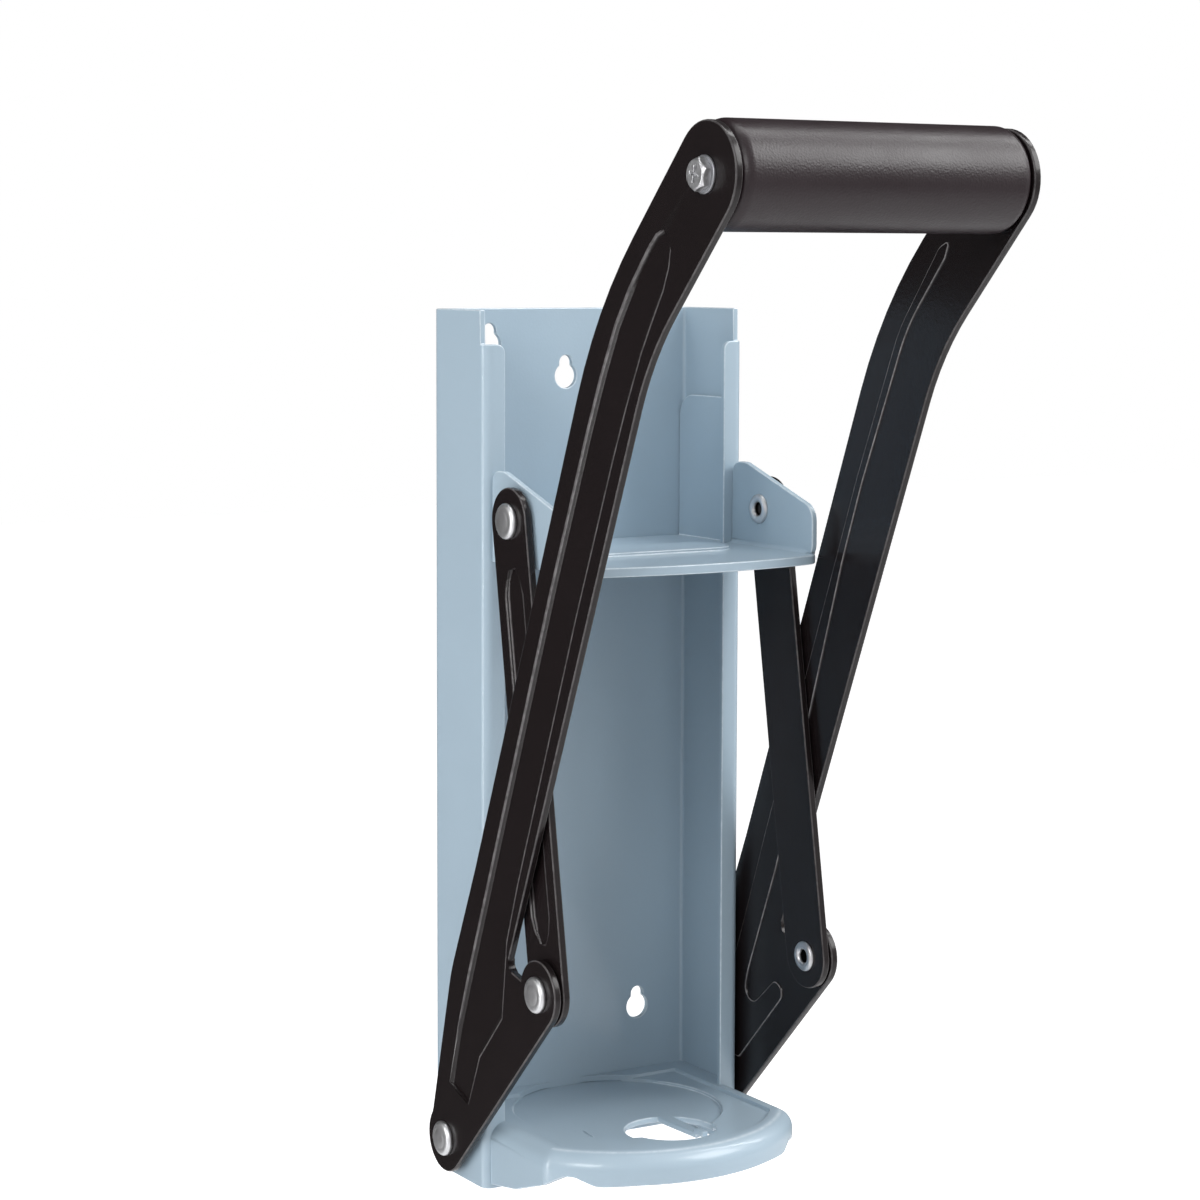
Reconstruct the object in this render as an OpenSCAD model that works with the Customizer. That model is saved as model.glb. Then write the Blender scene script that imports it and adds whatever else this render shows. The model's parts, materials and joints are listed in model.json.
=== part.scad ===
// Lever can crusher for a wall: a folded back channel, a stamped base tray, a ram plate that slides
// on the channel's lips, and two lever arms that pull the ram down through two links.
// X runs across the crusher, -Y points away from the wall, Z is up. Y = 0 is the wall.

/* [Back channel] */
// Outside width of the channel
channel_w = 100; // [92:1:110]
// Depth from the wall to the front of the lips
channel_d = 35; // [34:1:38]
// Height of the channel
channel_h = 288; // [270:1:310]
// Steel thickness of the channel, the tray and the ram
sheet_t = 2; // [1.5:0.1:2.2]
// Width of each inward lip
lip_w = 7.6; // [6:0.2:9]
// Distance from the channel's top down to the lips' tops
lip_drop = 11; // [8:1:16]
// Radius on the lips' upper corners
lip_r = 3; // [1:0.5:5]
// Inside radius of the channel's folds
fold_r = 1.2; // [0.6:0.2:2]

/* [Wall holes] */
// Round part of each keyhole
key_d = 8.4; // [7:0.2:10]
// Width of the keyhole's slot, for the screw's shank
key_slot_w = 4.8; // [4:0.2:6]
// Rise of the slot above the round part's centre
key_rise = 4.6; // [3.5:0.2:6]
// Height of the middle hole above the channel's foot
mid_hole_z = 265; // [250:1:270]
// Height of the upper pair of holes
top_holes_z = 276; // [260:1:280]
// Height of the lower pair of holes
low_holes_z = 44; // [30:1:60]
// Distance between the holes of a pair
hole_pitch = 59; // [50:1:64]

/* [Can] */
// Widest can that the crusher takes
can_d = 66.2; // [60:0.2:70]
// Room left between the can and the back of the channel
can_gap = 1.5; // [0.5:0.5:4]

/* [Base tray] */
// Height of the tray's top face above the channel's foot
tray_z = 22; // [20:0.5:26]
// Radius of the tray's rounded front
tray_front_r = 60; // [58:0.5:66]
// Distance from the wall to the centre of that radius
tray_front_y = 34.5; // [32:0.5:38]
// Height of the tray's front skirt
tray_skirt_h = 10; // [7:0.5:12]
// Distance from the tray's edge to its pressed panel
tray_border = 7.5; // [6:0.5:10]
// Depth of each pressed step in the tray
tray_step = 1.1; // [0.6:0.1:1.4]
// Radius on the tray's front corners
tray_corner_r = 8; // [4:0.5:12]
// Size of the bottle opener's round hole
opener_d = 30; // [24:1:32]
// Distance of the hole's middle to the right of the tray's middle
opener_x = 3; // [0:0.5:5]
// Distance of the opener's tongue to the right of the hole's middle
tongue_x = 6.8; // [4:0.2:8]
// Width of the tongue at its tip
tongue_w = 2.4; // [2:0.2:4]
// Distance from the tongue's tip to the hole's front edge
tongue_gap = 3; // [2:0.5:6]

/* [Lever] */
// Height of the lever's pivot above the channel's foot
pivot_z = 13; // [12:0.5:15]
// Distance from the wall to the lever's pivot
pivot_y = 15; // [14:0.5:18]
// Distance from the lever's pivot to the link's pin
crank_r = 86.5; // [82:0.5:90]
// Angle of that crank above the horizontal, at rest
crank_a = 45.3; // [43:0.1:47]
// Thickness of the lever arms
arm_t = 2.5; // [2:0.1:3]
// Width of the arms' straight part
arm_w = 31.8; // [30:0.2:34]
// How far the arm bows towards the wall, at the bend below its head
arm_bow = 19.4; // [14:0.2:24]
// Distance of that bend below the grip's axis
arm_bend = 60; // [50:1:75]
// How far the arm's middle lies towards the wall, where it starts above the link's pin
arm_root = 8; // [5:0.2:10]
// Distance from the pivot to that start
arm_shoulder = 95; // [92:1:110]
// Radius of the arm round its pivot
arm_foot_r = 11.2; // [10:0.2:13]
// Radius of the arm round the link's pin
arm_lobe_r = 10.8; // [9.5:0.2:12]
// Radius of the arm's head round the grip
arm_head_r = 15.4; // [14:0.2:17]
// Depth of the channel pressed into each arm
arm_press = 0.9; // [0.5:0.1:1.2]
// Distance from the wall to the grip's axis
grip_y = 168.5; // [160:0.5:175]
// Height of the grip's axis
grip_z = 328; // [318:0.5:336]

/* [Ram] */
// Height of the ram plate's underside at rest
ram_z = 207; // [200:1:212]
// Distance from the wall to the ram's front edge, in its middle
ram_front_y = 92; // [88:0.5:96]
// How much nearer the wall the front edge is at the ears
ram_front_bow = 7; // [4:0.5:10]
// Height of the turned rim along the ram's front
ram_rim_h = 3; // [2.6:0.2:6]
// Height of the ram's guide flanges in the channel, above the plate's underside
guide_h = 51; // [40:1:60]
// Radius on their upper rear corners
guide_r = 8; // [3:0.5:12]
// Distance from the ears' rear edges to the ram's pressed bead
bead_gap = 1.5; // [1:0.5:4]
// Size of that bead from front to rear
bead_d = 21; // [14:0.5:26]
// Distance from each ear to the bead
bead_side = 12; // [8:0.5:18]
// Height of the ear's tall rear edge above the plate's underside
ear_h = 29.6; // [27:0.2:34]
// Height of the link's upper pin above the plate's underside
ear_pin_h = 14.5; // [13:0.5:16]
// Distance from the wall to the link's upper pin
ear_pin_y = 51.6; // [50:0.2:54]
// Running clearance of the ram in the channel and round its lips
ram_fit = 0.4; // [0.3:0.05:0.6]

/* [Links] */
// Thickness of the links
link_t = 2.5; // [2:0.1:3]
// Width of the links, and of their eyes
link_w = 21.4; // [19:0.2:23]
// Depth of the groove pressed into each link
link_press = 0.8; // [0.4:0.1:1.2]

/* [Rivets] */
// Shank of the pivot and link rivets
rivet_d = 8; // [7:0.2:8.4]
// Head of the rivets
rivet_head_d = 11.5; // [10.4:0.1:12.5]
// Height of the rivet heads
rivet_head_h = 2.2; // [1.6:0.1:2.6]
// Ring that the rivet's hollow end is rolled into
rivet_tail_d = 10; // [9.4:0.2:11]
// Height of that ring
rivet_tail_h = 1.3; // [0.8:0.1:1.6]
// Hollow in the rivet's end
rivet_hollow_d = 5; // [4:0.2:5]
// Thickness of the washers between the ears and the links
ear_washer_t = 0.8; // [0.6:0.1:1.2]
// Thickness of the washers between the links and the arms
link_washer_t = 0.8; // [0.6:0.1:1.2]
// Diameter of the washers and spacers
washer_d = 15; // [13:0.5:17]

/* [Grip] */
// Diameter of the grip's sleeve
grip_d = 32; // [28:0.5:34]
// Radius on the sleeve's ends
grip_end_r = 4; // [2:0.5:6]
// Diameter of the tube inside the sleeve
tube_d = 16; // [14:0.5:19]
// Thread of the screws that hold the grip
screw_d = 6; // [5:0.5:7]
// Length of those screws under their heads
screw_l = 18; // [14:1:24]
// Width of the screws' hexagonal heads, across flats
screw_hex_w = 8.6; // [8:0.2:10]
// Height of the screws' heads
screw_head_h = 3; // [2.4:0.1:4]
// Diameter of the washer under each head
screw_washer_d = 11; // [10:0.5:13]
// Thickness of that washer
screw_washer_t = 0.8; // [0.6:0.1:1.2]

/* [Fits] */
// Radial clearance of a rivet's shank in a turning piece
run_fit = 0.06; // [0.03:0.01:0.08]
// Radial clearance of a shank in a piece that it is fast in
seat_fit = 0.02; // [0.01:0.01:0.05]
// Gap at the open pivot, between an ear's face and the rivet in its link
open_gap = 0.25; // [0.1:0.05:0.4]

/* [Hidden] */
$fn = 64;
eps = 0.01;
arc_n = 6;                                 // points on a rounded corner

half_w = channel_w / 2;                    // outer face of the channel's walls
wall_in = half_w - sheet_t;                // inner face of the channel's walls
lip_in = half_w - lip_w;                   // inner edge of the lips
flange_x = wall_in;                        // outer face of the tray's flanges
ear_x = wall_in - ram_fit;                 // outer face of the ram's ears and guides
link_x = ear_x + ear_washer_t;             // inner face of the links
link_out = link_x + link_t;
arm_x = link_out + link_washer_t;          // inner face of the arms
arm_out = arm_x + arm_t;
spacer_t = arm_x - half_w;                 // spacer between the channel and an arm

can_y = sheet_t + can_gap + can_d / 2;     // distance from the wall to the can's axis
opener_y = can_y + can_d / 2 - 5;          // and to the middle of the opener's hole

ear_back = channel_d + ram_fit;            // distance from the wall to the ears' rear edges,
guide_front = channel_d - sheet_t - ram_fit; // to the guides' front edges
guide_back = sheet_t + ram_fit;            // and to their rear edges

pivot = [-pivot_y, pivot_z];               // pins, as [Y, Z]
link_pin = pivot + crank_r * [-cos(crank_a), sin(crank_a)];
ear_pin = [-ear_pin_y, ram_z + ear_pin_h];
grip_pin = [-grip_y, grip_z];
link_l = norm(ear_pin - link_pin);
arm_l = norm(grip_pin - pivot);
arm_dir = (grip_pin - pivot) / arm_l;

// ---- Helpers ----------------------------------------------------------------------------------

// Stands a [Y, Z] outline up as a plate of thickness t, from X = x outwards
module side_plate(x, t) {
    translate([x, 0, 0]) rotate([90, 0, 90]) linear_extrude(t) children();
}

// A disc or bore along X at a [Y, Z] pin, from X = x over length l
module pin_disc(at, x, d, l) {
    translate([x, at[0], at[1]]) rotate([0, 90, 0]) cylinder(d = d, h = l);
}

// A washer along X at a [Y, Z] pin
module ring(at, x, d, bore, l) {
    difference() {
        pin_disc(at, x, d, l);
        pin_disc(at, x - eps, bore, l + 2 * eps);
    }
}

// Turns a [radius, distance] outline round X at a [Y, Z] pin; distance 0 is at X = x
module turned(at, x) {
    translate([x, at[0], at[1]]) rotate([0, 90, 0]) rotate_extrude() children();
}

// One corner of an outline, rounded by radius c[2] between the points a and b before and after it
function corner(a, c, b) =
    let (p = [c[0], c[1]], u = [a[0], a[1]] - p, v = [b[0], b[1]] - p,
         un = u / norm(u), vn = v / norm(v),
         half = acos(max(-1, min(1, un * vn))) / 2,
         bis = (un + vn) / norm(un + vn),
         o = p + bis * c[2] / sin(half),
         from = p + un * c[2] / tan(half) - o, to = p + vn * c[2] / tan(half) - o,
         a0 = atan2(from[1], from[0]), turn = atan2(to[1], to[0]) - a0,
         sweep = turn > 180 ? turn - 360 : turn < -180 ? turn + 360 : turn)
    c[2] == 0 ? [p] : [for (i = [0:arc_n]) let (w = a0 + sweep * i / arc_n)
                       o + c[2] * [cos(w), sin(w)]];

// An outline of [x, y, corner radius] points, with its corners rounded
function rounded(pts) = let (n = len(pts))
    [for (i = [0:n - 1]) each corner(pts[(i + n - 1) % n], pts[i], pts[(i + 1) % n])];

// Both sides of a band along [x, y, half width] stations, drawn in by inset
function band(st, inset) = let (n = len(st) - 1, side = [for (i = [0:n])
        let (d = [st[min(i + 1, n)][0], st[min(i + 1, n)][1]]
                 - [st[max(i - 1, 0)][0], st[max(i - 1, 0)][1]], u = d / norm(d),
             w = max(st[i][2] - inset, 0.3))
        [[st[i][0], st[i][1]] + w * [-u[1], u[0]], [st[i][0], st[i][1]] - w * [-u[1], u[0]]]])
    concat([for (s = side) s[0]], [for (i = [n:-1:0]) side[i][1]]);

// A pressed groove along such stations: wide at height 0, and narrower by slope at -depth
module pressed(st, slope, depth) {
    m = 2 * len(st);
    k = len(st);
    rim = band(st, 0);
    bed = band(st, slope);
    polyhedron(
        points = concat([for (p = rim) [p[0], p[1], eps]], [for (p = bed) [p[0], p[1], -depth]]),
        faces = concat([for (i = [0:m - 1]) [i, m + i, m + (i + 1) % m, (i + 1) % m]],
                       [for (i = [0:k - 2]) [i, i + 1, m - 2 - i, m - 1 - i]],
                       [for (i = [0:k - 2]) [m + i + 1, m + i, 2 * m - 1 - i, 2 * m - 2 - i]]));
}

// Draws its children, and their mirror image on the left
module both_sides() {
    children();
    mirror([1, 0, 0]) children();
}

// ---- Frame ------------------------------------------------------------------------------------

// Cross-section of the channel, from above
module channel_section(lips) {
    d = lips ? channel_d : channel_d - sheet_t - fold_r;
    r = fold_r + sheet_t;
    outer = [[-half_w, 0, r], [half_w, 0, r], [half_w, -d, lips ? r : 0], [-half_w, -d, lips ? r : 0]];
    inner = [[-wall_in, -sheet_t, fold_r], [wall_in, -sheet_t, fold_r],
             [wall_in, -d + (lips ? sheet_t : -1), lips ? fold_r : 0],
             [-wall_in, -d + (lips ? sheet_t : -1), lips ? fold_r : 0]];
    difference() {
        polygon(rounded(outer));
        polygon(rounded(inner));
        translate([-lip_in, -channel_d - 1]) square([2 * lip_in, channel_d / 2]);
    }
}

// One keyhole through the back of the channel: a round part, and a slot above it
module keyhole(x, z) {
    translate([x, 1, z]) rotate([90, 0, 0]) cylinder(d = key_d, h = sheet_t + 2);
    translate([x, 1, z + key_rise]) rotate([90, 0, 0]) cylinder(d = key_slot_w, h = sheet_t + 2);
    translate([x - key_slot_w / 2, -sheet_t - 1, z]) cube([key_slot_w, sheet_t + 2, key_rise]);
}

module back_channel() color("#A3B8C6") {
    lips_top = channel_h - lip_drop;
    difference() {
        union() {
            linear_extrude(lips_top) channel_section(true);
            linear_extrude(channel_h) channel_section(false);
        }
        keyhole(0, mid_hole_z);
        for (x = [-1, 1], z = [top_holes_z, low_holes_z]) keyhole(x * hole_pitch / 2, z);
        both_sides() {
            // rounded upper corner of the lip
            translate([lip_in + lip_r, 1 - channel_d + sheet_t, lips_top - lip_r]) rotate([90, 0, 0])
                linear_extrude(sheet_t + 2) difference() {
                    translate([-lip_r - 1, 0]) square(lip_r + 1);
                    circle(lip_r);
                }
            pin_disc(pivot, wall_in - 1, rivet_d + 2 * seat_fit, sheet_t + 2);
        }
    }
}

// Outline of the tray from above, drawn in by inset: straight sides and a round front
module tray_outline(inset) {
    side = flange_x - inset;
    r = tray_front_r - inset;
    front_xs = concat([side], [for (i = [-12:12]) -(side - tray_corner_r / 2) * i / 12], [-side]);
    back_r = inset == 0 ? fold_r + 0.2 : 0;      // clear of the channel's folds
    polygon(rounded(concat([[-side, -sheet_t - inset, back_r], [side, -sheet_t - inset, back_r]],
        [for (x = front_xs) [x, -tray_front_y - sqrt(r * r - x * x),
                             abs(x) == side ? max(tray_corner_r - inset, 1) : 0]])));
}

// Space taken by the channel's lips and their folds, from above
module lip_space() {
    both_sides() {
        translate([lip_in, -channel_d]) square([lip_w, sheet_t]);
        translate([wall_in - fold_r, -channel_d]) square([fold_r + 1, sheet_t + fold_r]);
    }
}

// The hole that lifts bottle caps: a round hole, with a narrow tongue that comes from behind
module opener_hole() {
    r = opener_d / 2;
    translate([opener_x, -opener_y]) difference() {
        circle(r);
        translate([tongue_x, 0]) polygon([[-tongue_w / 2, tongue_gap - r * cos(asin(tongue_x / r))],
            [tongue_w / 2, tongue_gap - r * cos(asin(tongue_x / r))], [tongue_w, r], [-tongue_w, r]]);
    }
}

// What is left of the tray's skirt, as a [Y, Z] outline: deep in the channel, rising forward to a
// relief notch, and level round the front
module tray_skirt() {
    skirt_z = tray_z - tray_skirt_h;
    notch = tray_front_y + tray_front_r * 0.68;
    polygon(rounded([[-sheet_t, tray_z, 0], [-sheet_t, 3, 4], [-pivot_y - 12, 0.3, 20],
        [-channel_d - 16, 4.2, 30], [-notch + 6, skirt_z - 1.4, 10], [-notch, skirt_z + 2.4, 2],
        [-notch - 2.5, skirt_z + 2.2, 2], [-notch - 7, skirt_z - 0.6, 4],
        [-notch - 14, skirt_z, 4], [-channel_w * 1.2, skirt_z, 0], [-channel_w * 1.2, tray_z, 0]]));
}

module base_plate() color("#A3B8C6") {
    panel = tray_border;
    seat_r = can_d / 2 + 2;
    difference() {
        union() {
            // border, panel and round seat for the can, each a step lower than the last
            translate([0, 0, tray_z - sheet_t]) linear_extrude(sheet_t) tray_outline(0);
            translate([0, 0, tray_z - sheet_t - tray_step]) linear_extrude(sheet_t)
                tray_outline(panel - sheet_t);
            translate([0, 0, tray_z - sheet_t - 2 * tray_step]) linear_extrude(sheet_t)
                intersection() {
                    tray_outline(0);
                    translate([0, -can_y]) circle(seat_r + sheet_t / 2);
                }
            // skirt round the front and down the sides
            intersection() {
                difference() {
                    linear_extrude(tray_z) tray_outline(0);
                    translate([0, 0, -1]) linear_extrude(tray_z + 2) tray_outline(sheet_t);
                    translate([-half_w, -2 * sheet_t - eps, -1]) cube([channel_w, 3 * sheet_t, tray_z]);
                }
                side_plate(-half_w, channel_w) tray_skirt();
            }
        }
        translate([0, 0, tray_z - tray_step]) linear_extrude(sheet_t) tray_outline(panel);
        translate([0, -can_y, tray_z - 2 * tray_step]) cylinder(r = seat_r, h = sheet_t + 1);
        translate([0, 0, tray_z - 3 * sheet_t]) linear_extrude(4 * sheet_t) opener_hole();
        translate([0, 0, -1]) linear_extrude(tray_z + sheet_t) lip_space();
        both_sides() pin_disc(pivot, flange_x - sheet_t - 1, rivet_d + 2 * seat_fit, sheet_t + 2);
    }
}

// ---- Rivets and washers -----------------------------------------------------------------------

// Domed rivet head with its flat face at 0 and its crown at height h
module head_outline() {
    h = rivet_head_h;
    polygon(concat([[0, 0], [rivet_head_d / 2 - 0.5, 0], [rivet_head_d / 2, 0.5]],
        [for (w = [0:15:90]) [(rivet_head_d / 2 - 1.2) + 1.2 * cos(w) - 0.02 * w,
                              0.9 + (h - 1.1) * sin(w)]], [[0, h]]));
}

// A rivet from X = x0 to the head seat at x1; its hollow end is rolled into a ring below x0
module rivet(at, x0, x1) {
    turned(at, x0) difference() {
        union() {
            square([rivet_d / 2, x1 - x0 + eps]);
            translate([0, x1 - x0]) head_outline();
            translate([0, -rivet_tail_h]) square([rivet_d / 2, rivet_tail_h + eps]);
            translate([rivet_tail_d / 2 - rivet_tail_h / 2, -rivet_tail_h / 2])
                circle(d = rivet_tail_h, $fn = 24);
            translate([0, -rivet_tail_h]) square([(rivet_tail_d - rivet_tail_h) / 2, rivet_tail_h]);
        }
        translate([-1, -rivet_tail_h - 1]) square([1 + rivet_hollow_d / 2, 1 + rivet_tail_h + 2.5]);
    }
}

module base_rivet_right() color("#C9CCD0") rivet(pivot, flange_x - sheet_t, arm_out);
module base_rivet_left() mirror([1, 0, 0]) base_rivet_right();

module base_spacer_right() color("#8D9297")
    ring(pivot, half_w, washer_d, rivet_d + 2 * seat_fit, spacer_t);
module base_spacer_left() mirror([1, 0, 0]) base_spacer_right();

module link_rivet_right() color("#C9CCD0") rivet(link_pin, link_x, arm_out);
module link_rivet_left() mirror([1, 0, 0]) link_rivet_right();

module link_washer_right() color("#8D9297")
    ring(link_pin, link_out, washer_d, rivet_d + 2 * seat_fit, link_washer_t);
module link_washer_left() mirror([1, 0, 0]) link_washer_right();

// The ear's rivet is open at the ear's outer face: the head and shank stay with the link
module ear_rivet_right() color("#C9CCD0") turned(ear_pin, ear_x + open_gap) {
    square([rivet_d / 2, link_out - ear_x - open_gap + eps]);
    translate([0, link_out - ear_x - open_gap]) head_outline();
}
module ear_rivet_left() mirror([1, 0, 0]) ear_rivet_right();

// and the rolled end stays in the ear
module ear_rivet_end_right() color("#C9CCD0") turned(ear_pin, ear_x - sheet_t) difference() {
    union() {
        translate([0, -rivet_tail_h]) square([rivet_d / 2, sheet_t + rivet_tail_h]);
        translate([rivet_tail_d / 2 - rivet_tail_h / 2, -rivet_tail_h / 2])
            circle(d = rivet_tail_h, $fn = 24);
        translate([0, -rivet_tail_h]) square([(rivet_tail_d - rivet_tail_h) / 2, rivet_tail_h]);
    }
    translate([-1, -rivet_tail_h - 1]) square([1 + rivet_hollow_d / 2, 1 + rivet_tail_h + 1]);
}
module ear_rivet_end_left() mirror([1, 0, 0]) ear_rivet_end_right();

module ear_washer_right() color("#8D9297")
    ring(ear_pin, ear_x + open_gap, washer_d, rivet_d + 2 * seat_fit, ear_washer_t - open_gap);
module ear_washer_left() mirror([1, 0, 0]) ear_washer_right();

// ---- Ram --------------------------------------------------------------------------------------

// Outline of the ram plate from above, drawn in by inset: it runs inside the channel, necks in
// at the lips, and widens again in front of them to a bowed edge
module ram_outline(inset) {
    side = ear_x - inset;
    neck = lip_in - ram_fit;
    corner_r = 9;
    bow_xs = concat([side], [for (i = [-8:8]) -(side - corner_r - 3) * i / 8], [-side]);
    polygon(rounded(concat(
        [[-side, -ear_back, 1], [-neck, -ear_back, 0], [-neck, -guide_front, 0],
         [-side, -guide_front, 1], [-side, -guide_back, 1], [side, -guide_back, 1],
         [side, -guide_front, 1], [neck, -guide_front, 0], [neck, -ear_back, 0],
         [side, -ear_back, 1]],
        [for (x = bow_xs) [x, inset - ram_front_y + ram_front_bow * pow(x / side, 2),
                           abs(x) == side ? corner_r - inset : 0]])));
}

// Ear of the ram, as a [Y, Z] outline: tall behind, sloping down to the front
module ear_outline() {
    tip = ram_front_y - ram_front_bow - 3;
    polygon(rounded([[-ear_back, ram_z, 0], [-ear_back, ram_z + ear_h, 4],
        [-ear_back - 8, ram_z + ear_h, 6], [-tip, ram_z + ear_h * 0.57, 6], [-tip, ram_z, 5]]));
}

// Guide flange of the ram, behind the lip
module guide_outline() {
    polygon(rounded([[-guide_back, ram_z, 0], [-guide_back, ram_z + guide_h, guide_r],
        [-guide_front, ram_z + guide_h, 3], [-guide_front, ram_z, 0]]));
}

module ram_plate() color("#A3B8C6") {
    difference() {
        union() {
            translate([0, 0, ram_z]) linear_extrude(sheet_t) ram_outline(0);
            // turned rim along the front
            translate([0, 0, ram_z + sheet_t - ram_rim_h]) linear_extrude(ram_rim_h)
                intersection() {
                    difference() {
                        ram_outline(0);
                        ram_outline(sheet_t);
                    }
                    translate([-half_w, -2 * ram_front_y + ram_front_bow + 4])
                        square([channel_w, ram_front_y]);
                }
            both_sides() {
                side_plate(ear_x - sheet_t, sheet_t) ear_outline();
                side_plate(ear_x - sheet_t, sheet_t) guide_outline();
            }
            // bead pressed up across the plate
            translate([0, 0, ram_z + sheet_t - eps]) linear_extrude(tray_step) bead_outline(0);
        }
        translate([0, 0, ram_z - eps]) linear_extrude(tray_step) bead_outline(1.5);
        both_sides() pin_disc(ear_pin, ear_x - sheet_t - 1, rivet_d + 2 * seat_fit, sheet_t + 2);
    }
}

// The ram's bead from above, drawn in by inset
module bead_outline(inset) {
    w = ear_x - sheet_t - bead_side - inset;
    y0 = -ear_back - bead_gap - inset;
    y1 = -ear_back - bead_gap - bead_d + inset;
    polygon(rounded([[-w, y0, 8], [w, y0, 8], [w, y1, 9], [-w, y1, 9]]));
}

// ---- Links ------------------------------------------------------------------------------------

module link_right() color("#2B2729") {
    u = (ear_pin - link_pin) / link_l;
    clear_eye = link_w * 0.72;
    difference() {
        side_plate(link_x, link_t) {
            translate(link_pin) circle(d = link_w);
            translate(ear_pin) circle(d = link_w);
            translate(link_pin) rotate(atan2(u[1], u[0])) translate([0, -link_w / 2])
                square([link_l, link_w]);
        }
        translate([link_out, 0, 0]) rotate([90, 0, 90]) pressed([
            for (s = [0, 0.03, 0.07, 0.93, 0.97, 1])
                let (p = link_pin + u * (clear_eye + s * (link_l - 2 * clear_eye)))
                [p[0], p[1], link_w * (s == 0 || s == 1 ? 0.1 : s < 0.05 || s > 0.95 ? 0.2 : 0.26)]],
            1.2, link_press);
        pin_disc(link_pin, link_x - 1, rivet_d + 2 * run_fit, link_t + 2);
        pin_disc(ear_pin, link_x - 1, rivet_d + 2 * seat_fit, link_t + 2);
    }
}
module link_left() mirror([1, 0, 0]) link_right();

// ---- Lever ------------------------------------------------------------------------------------

// Places [along, across] of the line from the pivot to the grip as a [Y, Z] point;
// across is positive on the wall side
function on_arm(p) = pivot + p[0] * arm_dir + p[1] * [arm_dir[1], -arm_dir[0]];
function off_arm(p) = let (d = p - pivot) [d * arm_dir, d * [arm_dir[1], -arm_dir[0]]];

// Outline of an arm: a foot round the pivot, a lobe round the link's pin, a bowed arm and a head
module arm_outline() {
    lobe = off_arm(link_pin);
    head = off_arm(grip_pin);
    bend = [arm_l - arm_bend, arm_bow];
    lobe_n = [lobe[1], -lobe[0]] / norm(lobe);               // outwards from the front edge
    head_n = let (d = head - bend) [-d[1], d[0]] / norm(d);  // outwards from the rear edge
    polygon([for (p = rounded([
        concat(-arm_foot_r * lobe_n, [0]),
        [arm_shoulder * 0.56, arm_root + arm_w / 2 - 2.6, 60],
        [arm_shoulder, arm_root + arm_w / 2 - 1, 60],
        [bend[0], bend[1] + arm_w / 2 + 0.6, 150],
        concat(head + arm_head_r * head_n, [0]),
        concat(head - arm_head_r * head_n, [0]),
        [bend[0], bend[1] - arm_w / 2, 90],
        [arm_shoulder, arm_root - arm_w / 2 + 0.6, 40],
        [lobe[0] - 4.5, arm_root - arm_w / 2 - 0.4, 3],
        concat(lobe, [0]),
        concat(lobe + arm_lobe_r * lobe_n, [0]),
        concat(arm_foot_r * lobe_n, [0])])) on_arm(p)]);
    translate(pivot) circle(arm_foot_r);
    translate(link_pin) circle(arm_lobe_r);
    translate(grip_pin) circle(arm_head_r);
}

module lever_arm_right() color("#2B2729") {
    b = arm_l - arm_bend;
    groove = [[20, -1, 6.8], [40, 1.2, 8], [60, -1, 12], [84, 4, 8.6], [arm_shoulder + 10, arm_root - 2, 8.2],
              [b - 90, arm_root + 0.53 * (arm_bow - arm_root) - 1, 8.2], [b - 36, arm_bow - 3.6, 8.2],
              [b - 18, arm_bow - 3.2, 8.2], [b, arm_bow - 3.6, 8.1], [b + 12, arm_bow - 5.2, 7.7],
              [b + 22, arm_bow - 7.2, 7], [b + 29, arm_bow - 8, 5.8], [b + 33.5, arm_bow - 8.2, 4.2],
              [b + 36.5, arm_bow - 8.6, 1.6]];
    difference() {
        side_plate(arm_x, arm_t) arm_outline();
        translate([arm_out, 0, 0]) rotate([90, 0, 90])
            pressed([for (s = groove) concat(on_arm(s), [s[2]])], 1.5, arm_press);
        pin_disc(pivot, arm_x - 1, rivet_d + 2 * run_fit, arm_t + 2);
        pin_disc(link_pin, arm_x - 1, rivet_d + 2 * seat_fit, arm_t + 2);
        pin_disc(grip_pin, arm_x - 1, screw_d + 2 * seat_fit, arm_t + 2);
    }
}
module lever_arm_left() mirror([1, 0, 0]) lever_arm_right();

// ---- Grip -------------------------------------------------------------------------------------

module grip_tube() color("#8D9297") ring(grip_pin, -arm_x, tube_d, screw_d + 2 * seat_fit, 2 * arm_x);

module grip_sleeve() color("#241D26") {
    l = 2 * (arm_x - seat_fit);
    turned(grip_pin, -l / 2) polygon(rounded([[tube_d / 2 + seat_fit, 0, 0], [grip_d / 2, 0, grip_end_r],
        [grip_d / 2, l, grip_end_r], [tube_d / 2 + seat_fit, l, 0]]));
}

module grip_screw_right() color("#C9CCD0") {
    seat = arm_out + screw_washer_t;
    difference() {
        union() {
            pin_disc(grip_pin, seat - screw_l, screw_d, screw_l + eps);
            // hexagon, with its corners turned off towards the crown
            intersection() {
                translate([seat, grip_pin[0], grip_pin[1]]) rotate([0, 90, 0]) rotate(12)
                    cylinder(d = screw_hex_w / cos(30), h = screw_head_h, $fn = 6);
                turned(grip_pin, seat) polygon([[0, 0], [screw_hex_w * 0.6, 0],
                    [screw_hex_w * 0.6, screw_head_h * 0.62], [screw_hex_w * 0.46, screw_head_h],
                    [0, screw_head_h]]);
            }
        }
        // cross recess
        for (w = [0, 90]) translate([seat + screw_head_h / 2, grip_pin[0], grip_pin[1]])
            rotate([w + 12, 0, 0]) translate([0, -screw_hex_w * 0.28, -0.5])
                cube([screw_head_h, screw_hex_w * 0.56, 1]);
    }
}
module grip_screw_left() mirror([1, 0, 0]) grip_screw_right();

module grip_washer_right() color("#8D9297")
    ring(grip_pin, arm_out, screw_washer_d, screw_d + 2 * seat_fit, screw_washer_t);
module grip_washer_left() mirror([1, 0, 0]) grip_washer_right();

// ---- Pieces -----------------------------------------------------------------------------------

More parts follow.
